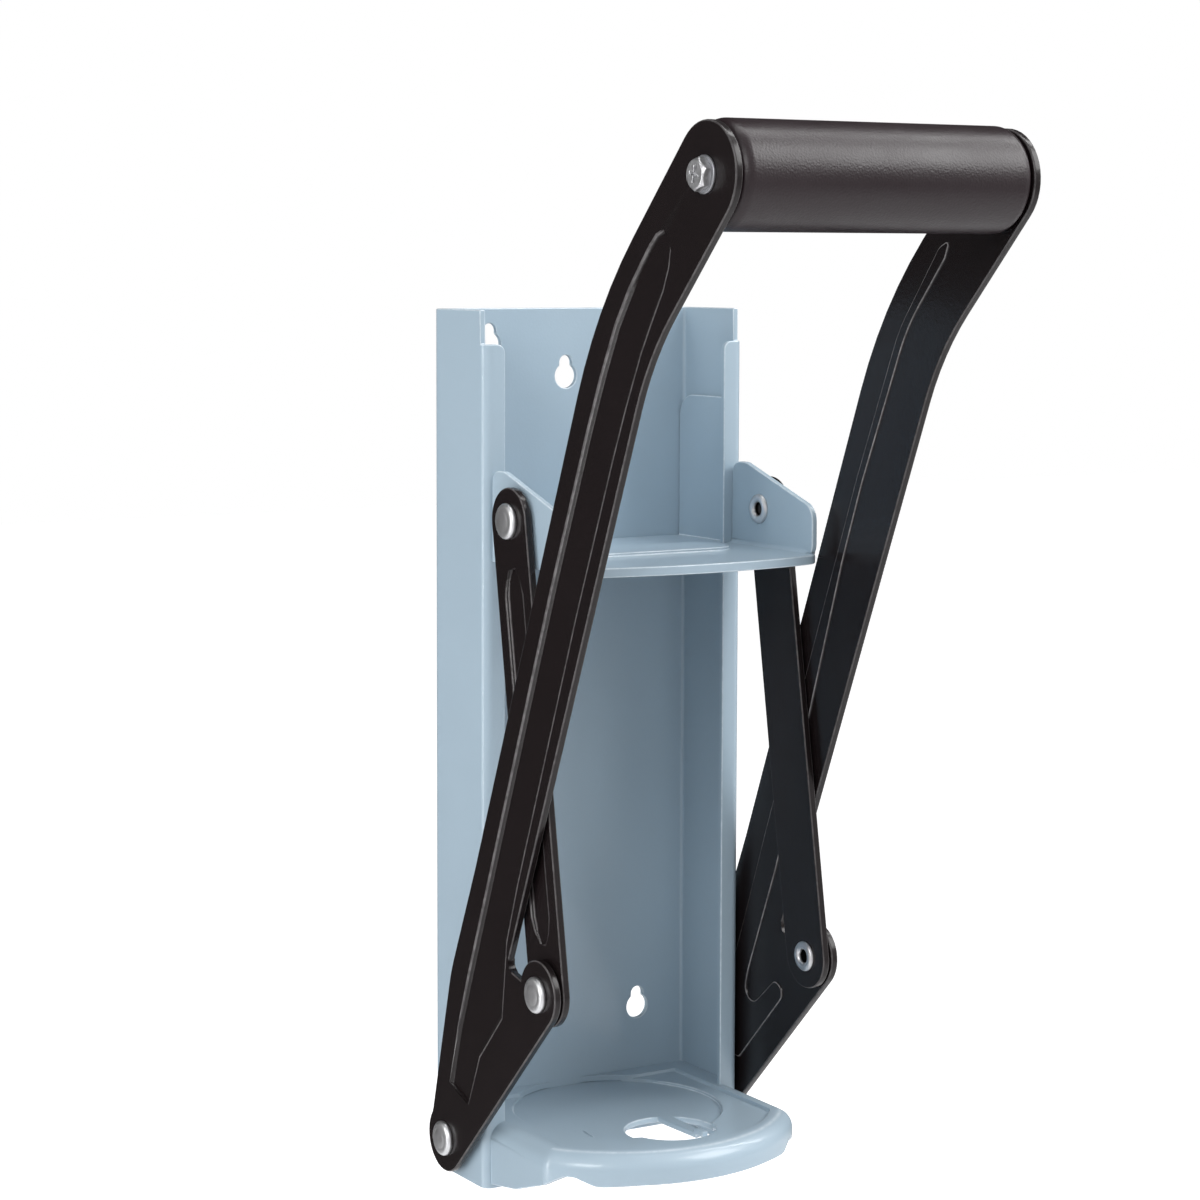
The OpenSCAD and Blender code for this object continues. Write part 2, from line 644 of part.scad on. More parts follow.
back_channel();
base_plate();
base_rivet_left();
base_rivet_right();
base_spacer_left();
base_spacer_right();
ram_plate();
ear_rivet_end_left();
ear_rivet_end_right();
link_left();
link_right();
ear_rivet_left();
ear_rivet_right();
ear_washer_left();
ear_washer_right();
lever_arm_left();
lever_arm_right();
link_rivet_left();
link_rivet_right();
link_washer_left();
link_washer_right();
grip_tube();
grip_sleeve();
grip_screw_left();
grip_screw_right();
grip_washer_left();
grip_washer_right();
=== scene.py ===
"""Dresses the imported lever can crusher.

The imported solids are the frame. Each sub-assembly below takes its pressed, folded and turned
pieces from them or builds them anew, rounds their edges as paint and tooling leave them, and
gives them powder coat, black enamel, zinc plate or a moulded rubber finish.
"""

import json
import logging
import math
from dataclasses import dataclass
from enum import Enum
from typing import Callable, Sequence

import bmesh
import bpy
from mathutils import Matrix, Vector

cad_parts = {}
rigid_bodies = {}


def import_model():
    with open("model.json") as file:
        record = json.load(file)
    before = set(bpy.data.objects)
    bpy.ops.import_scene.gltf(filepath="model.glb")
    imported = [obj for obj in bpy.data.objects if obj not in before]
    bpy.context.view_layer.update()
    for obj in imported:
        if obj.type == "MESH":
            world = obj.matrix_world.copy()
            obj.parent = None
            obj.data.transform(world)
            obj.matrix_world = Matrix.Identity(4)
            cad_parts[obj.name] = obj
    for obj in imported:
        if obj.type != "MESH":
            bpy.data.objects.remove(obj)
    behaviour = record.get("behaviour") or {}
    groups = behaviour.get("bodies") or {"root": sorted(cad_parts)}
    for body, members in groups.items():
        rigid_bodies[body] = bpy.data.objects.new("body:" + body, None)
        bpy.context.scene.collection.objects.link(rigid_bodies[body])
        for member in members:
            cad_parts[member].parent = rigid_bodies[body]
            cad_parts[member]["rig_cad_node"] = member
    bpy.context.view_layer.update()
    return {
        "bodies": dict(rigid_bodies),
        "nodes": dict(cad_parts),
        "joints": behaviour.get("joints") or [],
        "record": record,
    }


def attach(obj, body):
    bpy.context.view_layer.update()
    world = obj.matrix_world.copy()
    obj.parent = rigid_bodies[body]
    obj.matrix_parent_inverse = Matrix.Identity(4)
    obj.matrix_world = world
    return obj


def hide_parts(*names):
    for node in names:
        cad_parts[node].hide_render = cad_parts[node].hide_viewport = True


LOG = logging.getLogger("crusher")
Tree = bpy.types.NodeTree
Socket = bpy.types.NodeSocket
Shape = bmesh.types.BMesh
Edge = bmesh.types.BMEdge
EdgeTest = Callable[[Edge], bool]
Colour = tuple[float, float, float]
Corner = tuple[float, float, float]
Point = tuple[float, float]

# A millimetre in the scene's metres. The crusher's sizes are in millimetres, the studio's aren't.
MM = 0.001
# Thickness of the channel, the tray and the ram.
SHEET = 2.0
# How near two places count as one.
NEAR = 0.05

# Y and Z of the pins, which lie along X.
PIVOT: Point = (-15.0, 13.0)
LINK_PIN: Point = (-75.844, 74.484)
EAR_PIN: Point = (-51.6, 221.5)
GRIP_PIN: Point = (-168.5, 328.0)

# Distance of each plate's inner and outer face from the crusher's middle.
EAR: Point = (45.6, 47.6)
WALL: Point = (46.0, 50.0)
LINK: Point = (48.4, 50.9)
ARM: Point = (51.7, 54.2)
WASHER_FOOT = 47.85

# Distances between which no rivet lies.
NOWHERE: Point = (0.0, 0.0)

VECTOR, COLOUR, VALUE = "NodeSocketVector", "NodeSocketColor", "NodeSocketFloat"


class Side(Enum):
    """Which half of the crusher a piece belongs to."""

    RIGHT = 1
    LEFT = -1

    @property
    def word(self) -> str:
        """The side's word in a node's name."""
        return self.name.lower()


class Slot(Enum):
    """The record's material slots."""

    BODY = "body_paint"
    ARM = "arm_paint"
    BRIGHT = "bright_zinc"
    DULL = "dull_zinc"
    GRIP = "grip_rubber"


# ---- Shader node groups ----


class NodeGroup:
    """A shader node group with a Vector input, built once and placed in any material."""

    def __init__(self, name: str, inputs: Sequence[tuple[str, str, object]],
                 outputs: Sequence[tuple[str, str]]) -> None:
        """Makes the group's tree with its sockets.

        Args:
            name: the group's name.
            inputs: name, socket kind and default value of each further input.
            outputs: each output's name and socket kind.
        """
        self.tree = bpy.data.node_groups.new(name, "ShaderNodeTree")
        for label, kind, value in [("Vector", VECTOR, None), *inputs]:
            made = self.tree.interface.new_socket(name=label, in_out="INPUT", socket_type=kind)
            if value is not None:
                made.default_value = value
        for label, kind in outputs:
            self.tree.interface.new_socket(name=label, in_out="OUTPUT", socket_type=kind)
        self.source = self.tree.nodes.new("NodeGroupInput")
        self.sink = self.tree.nodes.new("NodeGroupOutput")

    def node(self, kind: str, links: dict[str, object] | None = None, **settings: object):
        """Adds a node to the group, as add_node does to a tree."""
        return add_node(self.tree, kind, links, **settings)

    def noise(self, scale: object, detail: float, roughness: float) -> Socket:
        """Adds noise over the group's Vector input and returns its socket."""
        made = self.node("ShaderNodeTexNoise", {"Vector": self.source.outputs["Vector"],
                                                "Scale": scale, "Detail": detail,
                                                "Roughness": roughness})
        return made.outputs["Fac"]

    def sums(self, *terms: object, clamp: bool = False) -> Socket:
        """Does one sum in the group and returns its socket."""
        return sums(self.tree, *terms, clamp=clamp)

    def send(self, name: str, value: Socket) -> None:
        """Links a socket to one of the group's outputs."""
        self.tree.links.new(value, self.sink.inputs[name])


def add_node(tree: Tree, kind: str, links: dict[str, object] | None = None,
             **settings: object):
    """Adds a node to a tree, sets its attributes, and fills or links its inputs.

    Args:
        tree: the tree that gets the node.
        kind: the node's type.
        links: a value or an output socket for each input, by name or by place.
        settings: attributes to set on the node.

    Returns:
        The new node.
    """
    made = tree.nodes.new(kind)
    for name, value in settings.items():
        setattr(made, name, value)
    for key, value in (links or {}).items():
        socket = made.inputs[key]
        if isinstance(value, Socket):
            tree.links.new(value, socket)
        else:
            socket.default_value = value
    return made


def mix_colour(tree: Tree, factor: object, first: object, second: object) -> Socket:
    """Mixes two colours.

    Args:
        tree: the tree that gets the node.
        factor: a value or socket, 0 for the first colour.
        first: the first colour or its socket.
        second: the second colour or its socket.

    Returns:
        The mixed colour's socket.
    """
    made = add_node(tree, "ShaderNodeMix", {0: factor, 6: first, 7: second}, data_type="RGBA")
    return made.outputs[2]


def sums(tree: Tree, operation: str, first: object, second: object, third: object = 0.0,
         clamp: bool = False) -> Socket:
    """Does one sum on values or sockets and returns its socket."""
    return add_node(tree, "ShaderNodeMath", {0: first, 1: second, 2: third}, operation=operation,
                    use_clamp=clamp).outputs[0]


class Effects:
    """The node groups that the finishes share."""

    def __init__(self) -> None:
        """Builds every group."""
        self.peel = self._peel()
        self.mottle = self._mottle()
        self.edge = self._edge()
        self.dust = self._dust()
        self.grain = self._grain()

    @staticmethod
    def _peel() -> NodeGroup:
        """The slow ripple and fine speckle of sprayed or baked paint, as a height."""
        group = NodeGroup("paint_ripple", [("Scale", VALUE, 900.0), ("Speckle", VALUE, 0.3)],
                          [("Height", VALUE)])
        src = group.source.outputs
        slow = group.noise(src["Scale"], 1.5, 0.45)
        fine = group.noise(group.sums("MULTIPLY", src["Scale"], 3.7), 2.0, 0.6)
        speckle = group.sums("MULTIPLY", fine, src["Speckle"])
        group.send("Height", group.sums("ADD", slow, speckle))
        return group

    @staticmethod
    def _mottle() -> NodeGroup:
        """Slow changes of tone over a surface, in the colour and as a value round 0.5."""
        group = NodeGroup("tone_drift", [("Color", COLOUR, None), ("Scale", VALUE, 30.0),
                                         ("Amount", VALUE, 0.08)],
                          [("Color", COLOUR), ("Value", VALUE)])
        src = group.source.outputs
        drift = group.noise(src["Scale"], 4.0, 0.55)
        gain = group.sums("MULTIPLY_ADD", group.sums("SUBTRACT", drift, 0.5), src["Amount"], 1.0)
        toned = group.node("ShaderNodeHueSaturation", {"Color": src["Color"], "Value": gain})
        group.send("Color", toned.outputs["Color"])
        group.send("Value", drift)
        return group

    @staticmethod
    def _edge() -> NodeGroup:
        """Thinned paint and a painted highlight along rounded edges, broken up by noise."""
        group = NodeGroup("edge_wear", [("Color", COLOUR, None), ("Worn", COLOUR, None),
                                        ("Edge", VALUE, 0.0), ("Amount", VALUE, 0.4),
                                        ("Scale", VALUE, 260.0)], [("Color", COLOUR)])
        src = group.source.outputs
        broken = group.node("ShaderNodeMapRange", {"Value": group.noise(src["Scale"], 5.0, 0.7),
                                                   "From Min": 0.38, "From Max": 0.62})
        part = group.sums("MULTIPLY_ADD", broken.outputs["Result"], 0.55, 0.45)
        mask = group.sums("MULTIPLY", group.sums("MULTIPLY", src["Edge"], part), src["Amount"],
                          clamp=True)
        group.send("Color", mix_colour(group.tree, mask, src["Color"], src["Worn"]))
        return group

    @staticmethod
    def _dust() -> NodeGroup:
        """A thin film of dust on faces that look up, as a colour and a mask."""
        group = NodeGroup("dust_film", [("Normal", VECTOR, None), ("Color", COLOUR, None),
                                        ("Dust", COLOUR, None), ("Amount", VALUE, 0.1)],
                          [("Color", COLOUR), ("Mask", VALUE)])
        src = group.source.outputs
        up = group.node("ShaderNodeSeparateXYZ", {"Vector": src["Normal"]})
        facing = group.node("ShaderNodeMapRange", {"Value": up.outputs["Z"], "From Min": 0.35,
                                                   "From Max": 1.0})
        lies = group.sums("MULTIPLY", facing.outputs["Result"], group.noise(85.0, 6.0, 0.65))
        mask = group.sums("MULTIPLY", lies, src["Amount"], clamp=True)
        group.send("Color", mix_colour(group.tree, mask, src["Color"], src["Dust"]))
        group.send("Mask", mask)
        return group

    @staticmethod
    def _grain() -> NodeGroup:
        """Fine pebbles of a moulded surface, as a height."""
        group = NodeGroup("moulded_grain", [("Scale", VALUE, 1400.0)], [("Height", VALUE)])
        src = group.source.outputs
        cells = group.node("ShaderNodeTexVoronoi", {"Vector": src["Vector"], "Scale": src["Scale"],
                                                    "Smoothness": 0.7}, feature="SMOOTH_F1")
        group.send("Height", group.sums("ADD", cells.outputs["Distance"],
                                        group.noise(src["Scale"], 3.0, 0.5)))
        return group


# ---- Finishes ----


class Finish:
    """Shared ways of building a finish's material."""

    def open(self, name: str) -> tuple[bpy.types.Material, bpy.types.Node, bpy.types.Node]:
        """Makes an empty material.

        Args:
            name: the material's name.

        Returns:
            The material, its Principled shader and its Texture Coordinate node.
        """
        material = bpy.data.materials.new(name)
        material.use_nodes = True
        tree = material.node_tree
        shader = next(n for n in tree.nodes if n.type == "BSDF_PRINCIPLED")
        return material, shader, add_node(tree, "ShaderNodeTexCoord")

    @staticmethod
    def place(tree: Tree, group: NodeGroup, links: dict[str, object]):
        """Places a group in a material and returns its node."""
        return add_node(tree, "ShaderNodeGroup", links, node_tree=group.tree)

    def wear_edges(self, tree: Tree, effects: Effects, links: dict[str, object]) -> Socket:
        """Lightens marked edges as thinned paint and a painted highlight; returns the colour."""
        marks = add_node(tree, "ShaderNodeAttribute", attribute_name="edge")
        made = self.place(tree, effects.edge, {**links, "Edge": marks.outputs["Fac"]})
        return made.outputs["Color"]

    @staticmethod
    def surface(tree: Tree, shader: bpy.types.Node, colour: Socket, rough: Socket,
                height: Socket, depth: float) -> None:
        """Links a colour, a roughness, and a bump so many metres deep to the shader."""
        bump = add_node(tree, "ShaderNodeBump", {"Height": height, "Distance": depth,
                                                 "Strength": 1.0})
        for name, value in (("Base Color", colour), ("Roughness", rough),
                            ("Normal", bump.outputs["Normal"])):
            tree.links.new(value, shader.inputs[name])

    @staticmethod
    def swung(tree: Tree, value: Socket, zero: float, swing: float, base: float,
              clamp: bool = True) -> Socket:
        """A roughness that is base where the value is zero's, and swings with the value."""
        away = sums(tree, "SUBTRACT", value, zero)
        return sums(tree, "MULTIPLY_ADD", away, swing, base, clamp=clamp)


@dataclass(frozen=True)
class Paint(Finish):
    """Sprayed or baked paint on steel, edges lightened as thinned paint and a painted highlight.

    Attributes:
        name, colour: the material's name and the paint's colour.
        worn, wear: the edges' lighter colour, thinned paint and painted highlight, and its
            strength.
        roughness, swing: middle roughness, and how far it drifts.
        ripple, depth: scale of the ripple, and its height in metres.
        speckle: share of fine speckle in it.
        drift: how much the tone drifts.
        dust, dust_colour: how much dust lies on faces that look up, and its colour.
        coat, coat_roughness: weight of the clear layer, and its roughness.
        shine: the paint's own specular level.
    """

    name: str
    colour: Colour
    worn: Colour
    wear: float
    roughness: float
    swing: float
    ripple: float
    depth: float
    speckle: float
    drift: float
    dust: float
    dust_colour: Colour
    coat: float
    coat_roughness: float
    shine: float = 0.5

    def material(self, effects: Effects) -> bpy.types.Material:
        """Builds the paint's material from the shared effects."""
        material, shader, place = self.open(self.name)
        tree, where = material.node_tree, place.outputs["Object"]
        tone = self.place(tree, effects.mottle, {"Vector": where, "Color": (*self.colour, 1.0),
                                                 "Scale": 24.0, "Amount": self.drift})
        worn = self.wear_edges(tree, effects, {
            "Vector": where, "Color": tone.outputs["Color"], "Worn": (*self.worn, 1.0),
            "Amount": self.wear, "Scale": 260.0})
        dusty = self.place(tree, effects.dust, {
            "Vector": where, "Normal": place.outputs["Normal"], "Color": worn,
            "Dust": (*self.dust_colour, 1.0), "Amount": self.dust})
        rough = self.swung(tree, tone.outputs["Value"], 0.5, self.swing, self.roughness, False)
        rough = sums(tree, "MULTIPLY_ADD", dusty.outputs["Mask"], 0.5, rough, clamp=True)
        peel = self.place(tree, effects.peel, {"Vector": where, "Scale": self.ripple,
                                               "Speckle": self.speckle})
        self.surface(tree, shader, dusty.outputs["Color"], rough, peel.outputs["Height"],
                     self.depth)
        shader.inputs["Coat Weight"].default_value = self.coat
        shader.inputs["Coat Roughness"].default_value = self.coat_roughness
        shader.inputs["Specular IOR Level"].default_value = self.shine
        return material


@dataclass(frozen=True)
class Plate(Finish):
    """Zinc plate on steel, with faint polishing marks and a drifting tone.

    Attributes:
        name: the material's name.
        colour: the plate's colour.
        tint: the colour that it drifts to.
        roughness: middle roughness.
        swing: how far the roughness drifts.
        marks: depth of the polishing marks, in metres.
        stretch: how much longer the marks are along Z than across it.
        inside: the dark colour inside a hollow, a painted shade.
        rubbed: the light colour of marked edges, a painted highlight, partly also bared metal.
    """

    name: str
    colour: Colour
    tint: Colour
    roughness: float
    swing: float
    marks: float
    stretch: float
    inside: Colour = (0.05, 0.045, 0.045)
    rubbed: Colour = (0.86, 0.87, 0.88)

    def material(self, effects: Effects) -> bpy.types.Material:
        """Builds the plate's material from the shared effects."""
        material, shader, place = self.open(self.name)
        tree, where = material.node_tree, place.outputs["Object"]
        drawn = add_node(tree, "ShaderNodeMapping",
                         {"Vector": where, "Scale": (1.0, 1.0, 1.0 / self.stretch)})
        tone = self.place(tree, effects.mottle, {"Vector": where, "Color": (*self.colour, 1.0),
                                                 "Scale": 140.0, "Amount": 0.25})
        shade = mix_colour(tree, sums(tree, "MULTIPLY", tone.outputs["Value"], 0.6),
                           tone.outputs["Color"], (*self.tint, 1.0))
        worn = self.wear_edges(tree, effects, {
            "Vector": where, "Color": shade, "Worn": (*self.rubbed, 1.0), "Amount": 0.6,
            "Scale": 500.0})
        # Painted shade: the hollow of a rivet's end takes the dark inside colour.
        hollow = add_node(tree, "ShaderNodeAttribute", attribute_name="hollow")
        hollow_shaded = mix_colour(tree, hollow.outputs["Fac"], worn, (*self.inside, 1.0))
        lines = self.place(tree, effects.peel, {"Vector": drawn.outputs["Vector"],
                                                "Scale": 2600.0, "Speckle": 0.5})
        rough = self.swung(tree, lines.outputs["Height"], 0.6, self.swing, self.roughness)
        self.surface(tree, shader, hollow_shaded, rough, lines.outputs["Height"], self.marks)
        shader.inputs["Metallic"].default_value = 1.0
        return material


@dataclass(frozen=True)
class Rubber(Finish):
    """Dark moulded rubber with a fine pebbled grain.

    Attributes:
        name: the material's name.
        colour: the rubber's colour.
        roughness: middle roughness.
        grain: depth of the grain, in metres.
    """

    name: str
    colour: Colour
    roughness: float
    grain: float

    def material(self, effects: Effects) -> bpy.types.Material:
        """Builds the rubber's material from the shared effects."""
        material, shader, place = self.open(self.name)
        tree, where = material.node_tree, place.outputs["Object"]
        tone = self.place(tree, effects.mottle, {"Vector": where, "Color": (*self.colour, 1.0),
                                                 "Scale": 45.0, "Amount": 0.35})
        pebbles = self.place(tree, effects.grain, {"Vector": where, "Scale": 1500.0})
        rough = self.swung(tree, tone.outputs["Value"], 0.5, 0.25, self.roughness)
        self.surface(tree, shader, tone.outputs["Color"], rough, pebbles.outputs["Height"],
                     self.grain)
        return material


# Each paint's lighter edge colour below stands partly for thinned paint and partly for a painted
# highlight along edges and pressed rims.
POWDER_COAT = Paint(
    name="blue_grey_powder_coat", colour=(0.376, 0.484, 0.570), worn=(0.72, 0.80, 0.86), wear=0.8,
    roughness=0.36, swing=0.12, ripple=1300.0, depth=0.00003, speckle=0.3, drift=0.07, dust=0.14,
    dust_colour=(0.60, 0.65, 0.69), coat=0.5, coat_roughness=0.12)
BLACK_ENAMEL = Paint(
    name="black_enamel", colour=(0.0100, 0.0070, 0.0074), worn=(0.34, 0.325, 0.33), wear=0.8,
    roughness=0.24, swing=0.10, ripple=800.0, depth=0.00004, speckle=0.2, drift=0.35, dust=0.03,
    dust_colour=(0.20, 0.19, 0.19), coat=0.10, coat_roughness=0.12, shine=0.30)
BRIGHT_ZINC = Plate(
    name="bright_zinc_plate", colour=(0.72, 0.72, 0.73), tint=(0.58, 0.58, 0.60), roughness=0.37,
    swing=0.25, marks=0.00003, stretch=6.0)
DULL_ZINC = Plate(
    name="dull_zinc_plate", colour=(0.46, 0.47, 0.49), tint=(0.38, 0.38, 0.41), roughness=0.42,
    swing=0.25, marks=0.00003, stretch=3.0)
GRIP_RUBBER = Rubber(
    name="dark_grip_rubber", colour=(0.0120, 0.0046, 0.0070), roughness=0.36, grain=0.00005)


@dataclass
class Finishes:
    """One built material for each slot of the record."""

    effects: Effects

    def __post_init__(self) -> None:
        """Builds the materials."""
        made = {Slot.BODY: POWDER_COAT, Slot.ARM: BLACK_ENAMEL, Slot.BRIGHT: BRIGHT_ZINC,
                Slot.DULL: DULL_ZINC, Slot.GRIP: GRIP_RUBBER}
        self.materials = {slot: finish.material(self.effects) for slot, finish in made.items()}

    def dress(self, piece: bpy.types.Object, slot: Slot) -> None:
        """Gives a piece the slot's material in place of any it has."""
        piece.data.materials.clear()
        piece.data.materials.append(self.materials[slot])
        for polygon in piece.data.polygons:
            polygon.material_index = 0


# ---- Modelling ----


@dataclass(frozen=True)
class Round:
    """One rule for rounding edges of a piece.

    Attributes:
        radius: the rounding's radius.
        segments: faces across the rounding.
        where: tells which edges it takes.
        worn: how much thinned paint and painted highlight show on it, up to 1.
    """

    radius: float
    segments: int
    where: EdgeTest
    worn: float = 1.0


def fold_angle(edge: Edge) -> float:
    """The angle between an edge's two faces in degrees, or 0 if it hasn't two."""
    return math.degrees(edge.calc_face_angle(0.0)) if len(edge.link_faces) == 2 else 0.0


def middle(edge: Edge) -> Vector:
    """An edge's middle in millimetres."""
    return (edge.verts[0].co + edge.verts[1].co) / (2 * MM)


def sharp(low: float) -> EdgeTest:
    """A test for edges that fold by more than so many degrees."""
    return lambda edge: fold_angle(edge) > low


def weights(bm: Shape, name: str) -> bmesh.types.BMLayerItem:
    """A piece's point weights of that name, made if it has none."""
    layers = bm.verts.layers.float
    return layers.get(name) or layers.new(name)


def bevel(bm: Shape, edges: Sequence[Edge], offset: float, segments: int,
          clamp: bool) -> list[bmesh.types.BMFace]:
    """Rounds edges with a circular section.

    Args:
        bm: the piece.
        edges: its edges to round.
        offset: how far the rounding reaches from each edge, in metres.
        segments: faces across the rounding.
        clamp: whether roundings that meet make room for each other.

    Returns:
        The roundings' faces.
    """
    return bmesh.ops.bevel(bm, geom=list(edges), offset=offset, offset_type="OFFSET",
                           segments=segments, profile=0.5, affect="EDGES", material=-1,
                           clamp_overlap=clamp)["faces"]


def arc(centre: Point, radii: Point, start: float, end: float, steps: int) -> list[Point]:
    """Points along part of an ellipse.

    Args:
        centre: its centre.
        radii: its two half axes.
        start: angle of the first point, in degrees.
        end: angle of the last point.
        steps: how many pieces the arc has.

    Returns:
        The points, one more than the steps.
    """
    angles = [math.radians(start + (end - start) * i / steps) for i in range(steps + 1)]
    return [(centre[0] + radii[0] * math.cos(a), centre[1] + radii[1] * math.sin(a))
            for a in angles]


def smooth_outline(corners: Sequence[Corner], steps: int = 6) -> list[Point]:
    """A closed outline with its corners rounded.

    Args:
        corners: each corner's place and radius.
        steps: pieces in each rounding.

    Returns:
        The outline's points.
    """
    points: list[Point] = []
    for i, (x, y, radius) in enumerate(corners):
        here = Vector((x, y))
        before = (Vector(corners[i - 1][:2]) - here).normalized()
        after = (Vector(corners[(i + 1) % len(corners)][:2]) - here).normalized()
        half = before.angle(after) / 2
        reach = radius / math.tan(half)
        centre = here + (before + after).normalized() * (radius / math.sin(half))
        first = here + before * reach - centre
        turn = first.angle_signed(here + after * reach - centre)
        for k in range(steps + 1):
            spot = centre + Matrix.Rotation(-turn * k / steps, 2) @ first
            points.append((spot.x, spot.y))
    return points


class Workshop:
    """Turns meshes into finished pieces that ride on the frame's bodies."""

    def __init__(self, frame: dict, finishes: Finishes) -> None:
        """Keeps the frame and the finishes.

        Args:
            frame: what the frame's load gives.
            finishes: the built materials.
        """
        self.nodes = frame["nodes"]
        bodies = frame["record"]["behaviour"]["bodies"]
        self.body_of = {node: body for body, nodes in bodies.items() for node in nodes}
        self.finishes = finishes

    def merged(self, node: str) -> Shape:
        """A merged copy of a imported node, its flat faces made whole.

        Args:
            node: the node's name.

        Returns:
            The copy as a bmesh.
        """
        bm = bmesh.new()
        bm.from_mesh(self.nodes[node].data)
        bmesh.ops.remove_doubles(bm, verts=bm.verts, dist=2e-6)
        bmesh.ops.dissolve_degenerate(bm, edges=bm.edges, dist=1e-6)
        bmesh.ops.dissolve_limit(bm, angle_limit=math.radians(0.4), verts=bm.verts, edges=bm.edges,
                                 use_dissolve_boundaries=False)
        return bm

    @staticmethod
    def round_edges(bm: Shape, rules: Sequence[Round]) -> None:
        """Rounds edges by each rule in turn, and marks them for thinned paint and a painted
        highlight.

        Args:
            bm: the piece.
            rules: the rules, each for edges that no earlier rule made.
        """
        layer = weights(bm, "edge")
        rounded: set = set()
        worn: dict = {}
        for rule in rules:
            chosen = [e for e in bm.edges if rule.where(e)
                      and not any(f in rounded for f in e.link_faces)]
            if not chosen:
                continue
            made = bevel(bm, chosen, rule.radius * MM, rule.segments, clamp=False)
            rounded.update(made)
            worn.update(dict.fromkeys(made, rule.worn))
        for vert in bm.verts:
            if vert.link_faces:
                vert[layer] = min(worn.get(f, 0.0) for f in vert.link_faces)

    @staticmethod
    def turned(profile: Sequence[Point], pin: Point, side: Side, steps: int = 72) -> Shape:
        """Turns a profile round a pin that lies along X.

        Args:
            profile: the profile as radius and X.
            pin: the pin's Y and Z.
            side: the half of the crusher; the left mirrors the right.
            steps: faces round the pin.

        Returns:
            The turned shape as a bmesh.
        """
        bm = bmesh.new()
        verts = [bm.verts.new((side.value * x * MM, pin[0] * MM, (pin[1] + r) * MM))
                 for r, x in profile]
        edges = [bm.edges.new(pair) for pair in zip(verts, verts[1:])]
        bmesh.ops.spin(bm, geom=verts + edges, cent=(0, pin[0] * MM, pin[1] * MM), axis=(1, 0, 0),
                       dvec=(0, 0, 0), angle=math.tau, steps=steps, use_merge=True,
                       use_duplicate=False)
        bmesh.ops.remove_doubles(bm, verts=bm.verts, dist=1e-6)
        bmesh.ops.recalc_face_normals(bm, faces=bm.faces)
        return bm

    @staticmethod
    def mark(bm: Shape, name: str, pin: Point, radii: Point, spread: Point) -> None:
        """Marks a turned piece's points between two radii and two places on X.

        Args:
            bm: the piece.
            name: the mark's name, which a finish reads.
            pin: the pin's Y and Z.
            radii: the smallest and largest radius.
            spread: the smallest and largest distance from the middle of the crusher.
        """
        layer = weights(bm, name)
        for vert in bm.verts:
            x, y, z = vert.co / MM
            if (radii[0] <= math.hypot(y - pin[0], z - pin[1]) <= radii[1]
                    and spread[0] <= abs(x) <= spread[1]):
                vert[layer] = 1.0

    @staticmethod
    def raised(bm: Shape, outline: Sequence[Vector], lift: Vector, slope: float,
               edge: float) -> None:
        """Adds a raised field with sloping sides to a piece, as a press leaves it.

        Args:
            bm: the piece.
            outline: the field's outline, a little below the piece's surface.
            lift: from there to the top of the field.
            slope: how far the sides lean in.
            edge: rounding of the field's rim.
        """
        base = bm.faces.new([bm.verts.new(p) for p in outline])
        grown = bmesh.ops.extrude_face_region(bm, geom=[base])["geom"]
        top = next(g for g in grown if isinstance(g, bmesh.types.BMFace))
        bmesh.ops.translate(bm, verts=top.verts, vec=lift * 0.4)
        bmesh.ops.inset_region(bm, faces=[top], thickness=slope, use_even_offset=True)
        bmesh.ops.translate(bm, verts=top.verts, vec=lift * 0.6)
        made = bevel(bm, top.edges, edge, 3, clamp=True)
        # The field's crown is marked for the full edge colour, a painted highlight line along its
        # rim.
        layer = weights(bm, "edge")
        crown = {f for f in made if len(f.verts) <= 4}
        for vert in {v for f in crown for v in f.verts if all(n in crown for n in v.link_faces)}:
            vert[layer] = 1.0
        region, todo = set(crown), list(crown)
        while todo:
            for near in (n for e in todo.pop().edges for n in e.link_faces if n not in region):
                region.add(near)
                todo.append(near)
        bmesh.ops.recalc_face_normals(bm, faces=list(region))

    def piece(self, bm: Shape, name: str, node: str, slot: Slot) -> bpy.types.Object:
        """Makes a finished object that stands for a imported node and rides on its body.

        Args:
            bm: the piece's shape, freed here.
            name: the object's name.
            node: the node that it stands for.
            slot: the finish.

        Returns:
            The object.
        """
        mesh = bpy.data.meshes.new(name)
        bm.to_mesh(mesh)
        bm.free()
        made = bpy.data.objects.new(name, mesh)
        bpy.context.scene.collection.objects.link(made)
        mesh.shade_smooth()
        mesh.set_sharp_from_angle(angle=math.radians(40))
        flat = made.modifiers.new("flat faces", "WEIGHTED_NORMAL")
        flat.keep_sharp = True
        flat.weight = 80
        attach(made, self.body_of[node])
        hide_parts(node)
        self.finishes.dress(made, slot)
        LOG.info("%s: %d faces", name, len(mesh.polygons))
        return made

    def keep(self, node: str, slot: Slot) -> None:
        """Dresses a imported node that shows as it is."""
        self.finishes.dress(self.nodes[node], slot)
        LOG.info("%s: kept", node)

    def soften(self, node: str, name: str, slot: Slot, rules: Sequence[Round]) -> bpy.types.Object:
        """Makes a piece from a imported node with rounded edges.

        Args:
            node: the node.
            name: the new piece's name.
            slot: the finish.
            rules: how its edges are rounded.

        Returns:
            The piece.
        """
        bm = self.merged(node)
        self.round_edges(bm, rules)
        return self.piece(bm, name, node, slot)


# ---- Sub-assemblies ----


